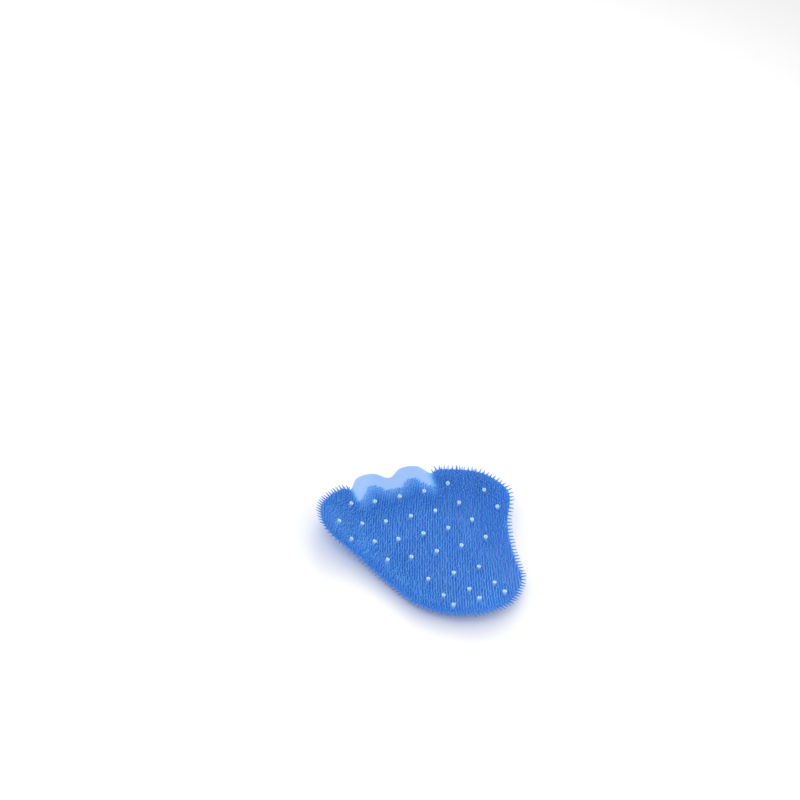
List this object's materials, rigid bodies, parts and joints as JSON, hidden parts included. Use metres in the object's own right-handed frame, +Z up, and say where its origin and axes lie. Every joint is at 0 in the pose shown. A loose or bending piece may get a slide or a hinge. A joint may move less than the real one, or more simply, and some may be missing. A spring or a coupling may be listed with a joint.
{
  "type": "urinal deodorizer screen",
  "caption": "Soft one-piece drain screen mat: a dished web with wide back ears, a waist and a rounded front lobe, drain tubes, upright bristles and a spiked rim.",
  "frame": {"origin": "middle of the flat area of the underside, on which the mat rests", "axes": "+Z up through the bristles, +Y towards the wide back edge with its two crests, X across the two ears"},
  "size_m": [0.187, 0.1816, 0.0252],
  "materials": {
    "soft_plastic": "soft moulded plastic, glossy, royal blue, slightly translucent"
  },
  "bodies": {
    "root": {"screen_mat": "soft_plastic"}
  },
  "joints": []
}
